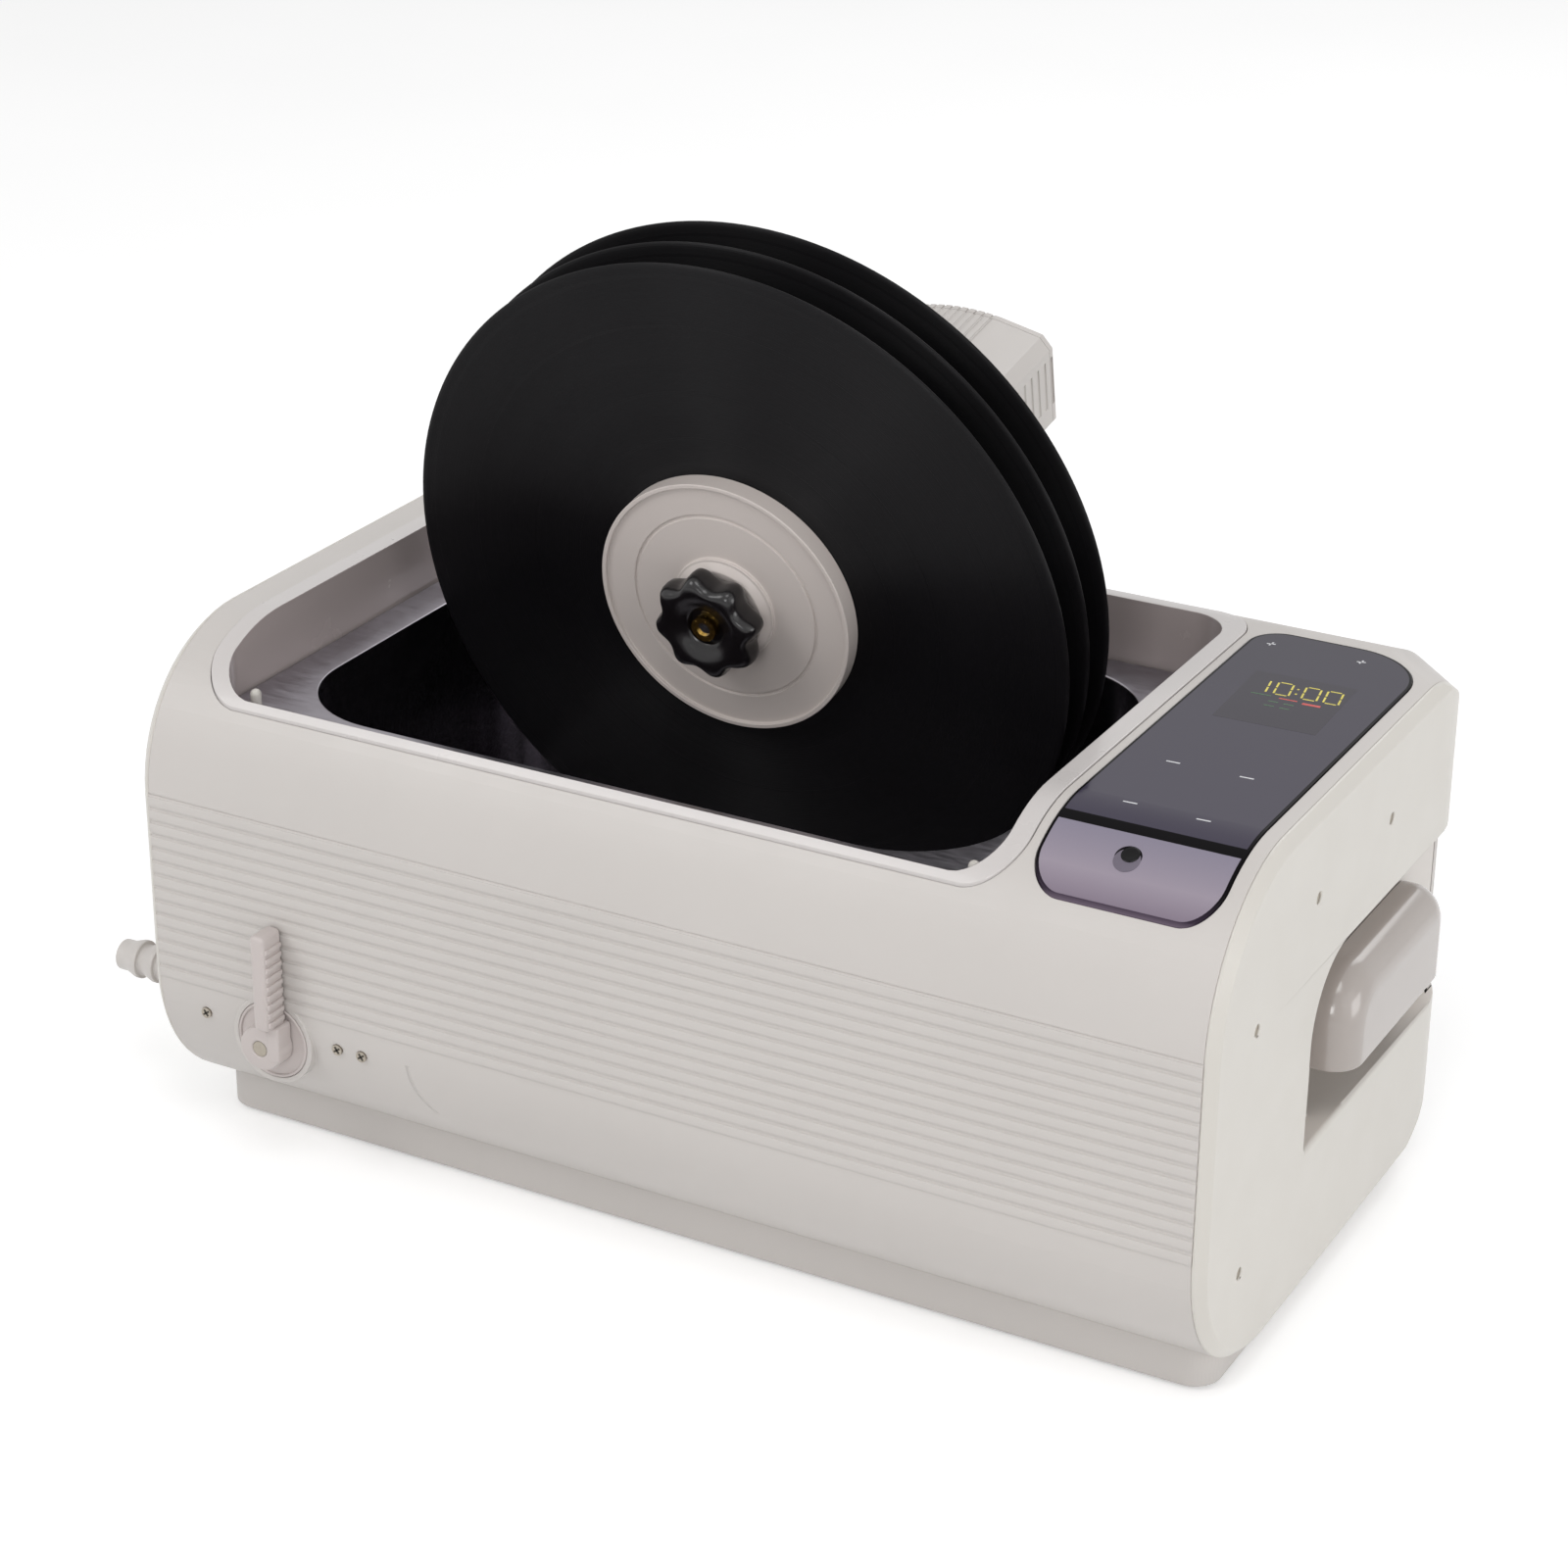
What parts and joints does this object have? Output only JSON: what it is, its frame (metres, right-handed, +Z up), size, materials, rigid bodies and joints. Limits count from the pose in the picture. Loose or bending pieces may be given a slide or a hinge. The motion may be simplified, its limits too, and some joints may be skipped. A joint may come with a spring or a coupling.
{
  "type": "record cleaning machine",
  "caption": "Table-top tank cleaner for vinyl records: a tilting motor head turns clamped records through a steel tank; touch panel, drain lever and side grips.",
  "frame": {"origin": "middle of the base's underside, on the table under the middle of the body", "axes": "+Z up, -Y towards the ribbed front with the drain lever, +X towards the control panel"},
  "size_m": [0.5285, 0.3697, 0.3967],
  "materials": {
    "shell": "satin moulded",
    "cap": "semi-gloss",
    "base": "satin moulded",
    "rubber": "matte",
    "plate_steel": "brushed",
    "liner": "satin",
    "tank_steel": "polished",
    "seal": "translucent grey",
    "smoked_glass": "smoked, glossy",
    "dark_plastic": "matte",
    "circuit": "satin",
    "display": "glossy with lit digits",
    "sensor": "glossy black",
    "grip": "glossy warm grey",
    "screw_steel": "turned",
    "piezo": "turned",
    "heater": "silicone mat",
    "pipe": "satin",
    "valve_brass": "turned",
    "lever": "satin",
    "bracket_steel": "powder coated",
    "pin_steel": "ground",
    "housing": "satin moulded",
    "motor_steel": "plated",
    "bronze": "sintered bronze",
    "spindle_steel": "polished",
    "disc": "satin",
    "vinyl": "pressed vinyl",
    "knob": "glossy black",
    "knob_brass": "turned"
  },
  "bodies": {
    "machine": {"main_shell": "shell", "left_end_cap": "cap", "right_end_cap": "cap", "base_tray": "base", "rubber_feet": "rubber", "left_end_plate": "plate_steel", "right_end_plate": "plate_steel", "well_liner": "liner", "tank_seal": "seal", "tank": "tank_steel", "lid_posts": "cap", "panel_glass": "smoked_glass", "panel_tray": "dark_plastic", "control_board": "circuit", "display_module": "display", "status_sensor": "sensor", "left_grip": "grip", "right_grip": "grip", "cap_screws": "screw_steel", "front_screws": "screw_steel", "transducers": "piezo", "heater_pad": "heater", "generator_board": "circuit", "power_inlet": "dark_plastic", "fan_frame": "dark_plastic", "drain_elbow": "pipe", "valve_body": "valve_brass", "hose_barb": "pipe", "valve_escutcheon": "lever", "tilt_bracket": "bracket_steel", "bracket_screws": "screw_steel", "hinge_pin": "pin_steel"},
    "drain_lever": {"valve_lever": "lever", "valve_stem": "pin_steel", "valve_ball": "spindle_steel", "lever_screw": "screw_steel"},
    "drive_head": {"drive_housing": "housing", "drive_cover": "housing", "cover_screws": "screw_steel", "gear_motor": "motor_steel", "front_bearing": "bronze", "rear_bearing": "bronze"},
    "record_stack": {"spindle": "spindle_steel", "shaft_coupling": "piezo", "motor_shaft": "pin_steel", "label_disc_1": "disc", "label_disc_2": "disc", "label_disc_3": "disc", "label_disc_4": "disc", "label_disc_5": "disc", "label_disc_6": "disc", "label_seals": "rubber", "record_1": "vinyl", "record_2": "vinyl", "record_3": "vinyl"},
    "knob": {"clamp_knob": "knob", "knob_insert": "knob_brass"},
    "fan": {"fan_impeller": "dark_plastic"}
  },
  "joints": [
    {"name": "drain_lever_turn", "type": "hinge", "parent": "machine", "child": "drain_lever", "pos_m": [-0.178, -0.139, 0.063], "axis": [0, -1, 0], "range_deg": [0, 90]},
    {"name": "drive_head_tilt", "type": "hinge", "parent": "machine", "child": "drive_head", "pos_m": [-0.036, 0.15825, 0.24019], "axis": [-1, 0, 0], "range_deg": [0, 45]},
    {"name": "record_spin", "type": "hinge", "parent": "drive_head", "child": "record_stack", "pos_m": [-0.036, 0, 0.2412], "axis": [0, 0.9806, 0.1959], "continuous": true},
    {"name": "clamp_knob_turn", "type": "hinge", "parent": "record_stack", "child": "knob", "pos_m": [-0.036, -0.01961, 0.23728], "axis": [0, 0.9806, 0.1959], "range_deg": [-180, 0]},
    {"name": "fan_spin", "type": "hinge", "parent": "machine", "child": "fan", "pos_m": [0.176, 0.12835, 0.128], "axis": [0, 1, 0], "continuous": true}
  ]
}
